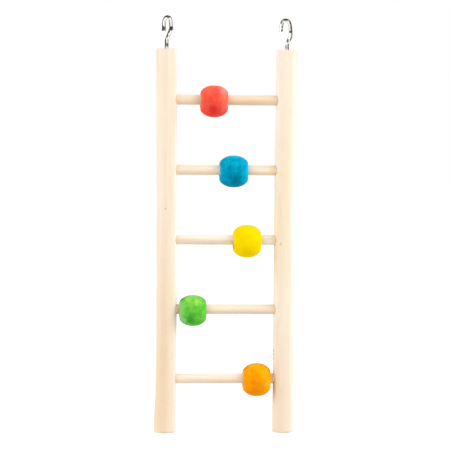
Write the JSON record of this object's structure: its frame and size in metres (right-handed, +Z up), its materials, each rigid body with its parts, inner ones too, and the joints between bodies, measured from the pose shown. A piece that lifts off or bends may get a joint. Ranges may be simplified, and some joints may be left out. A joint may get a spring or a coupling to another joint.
{
  "type": "bead ladder toy",
  "caption": "Hanging wooden ladder toy: round side rails joined by round rungs, a dyed wooden bead sliding on each rung, and an open screw hook in the top of each rail.",
  "frame": {"origin": "middle of the line between the feet of the rails, on the plane of the feet, which is the bottom centre of the bounding box", "axes": "+X across the ladder towards the right rail, +Y through the ladder away from a viewer who has the left rail on the left, +Z up along the rails"},
  "size_m": [0.087, 0.0202, 0.2609],
  "materials": {
    "rail_wood": "bare sanded pale softwood, fine grain along the rail",
    "rung_wood": "bare dowel, a little darker and pinker than the rails",
    "red_dyed_wood": "water dye that lets the grain show, satin",
    "blue_dyed_wood": "water dye that lets the grain show, mottled, satin",
    "yellow_dyed_wood": "water dye that lets the grain show, satin",
    "green_dyed_wood": "water dye that lets the grain show, satin",
    "orange_dyed_wood": "water dye that lets the grain show, satin",
    "bright_wire": "nickel plated steel wire, polished"
  },
  "bodies": {
    "frame": {"left_rail": "rail_wood", "right_rail": "rail_wood", "rung_1": "rung_wood", "rung_2": "rung_wood", "rung_3": "rung_wood", "rung_4": "rung_wood", "rung_5": "rung_wood", "left_hook": "bright_wire", "right_hook": "bright_wire"},
    "red_bead": {"red_bead": "red_dyed_wood"},
    "blue_bead": {"blue_bead": "blue_dyed_wood"},
    "yellow_bead": {"yellow_bead": "yellow_dyed_wood"},
    "green_bead": {"green_bead": "green_dyed_wood"},
    "orange_bead": {"orange_bead": "orange_dyed_wood"}
  },
  "joints": [
    {"name": "red_bead_slide", "type": "slide", "parent": "frame", "child": "red_bead", "axis": [1, 0, 0], "range_m": [-0.01375, 0.02922]},
    {"name": "blue_bead_slide", "type": "slide", "parent": "frame", "child": "blue_bead", "axis": [1, 0, 0], "range_m": [-0.02589, 0.0162]},
    {"name": "yellow_bead_slide", "type": "slide", "parent": "frame", "child": "yellow_bead", "axis": [1, 0, 0], "range_m": [-0.03478, 0.00763]},
    {"name": "green_bead_slide", "type": "slide", "parent": "frame", "child": "green_bead", "axis": [1, 0, 0], "range_m": [-0.00128, 0.04161]},
    {"name": "orange_bead_slide", "type": "slide", "parent": "frame", "child": "orange_bead", "axis": [1, 0, 0], "range_m": [-0.04174, 0.00107]}
  ]
}
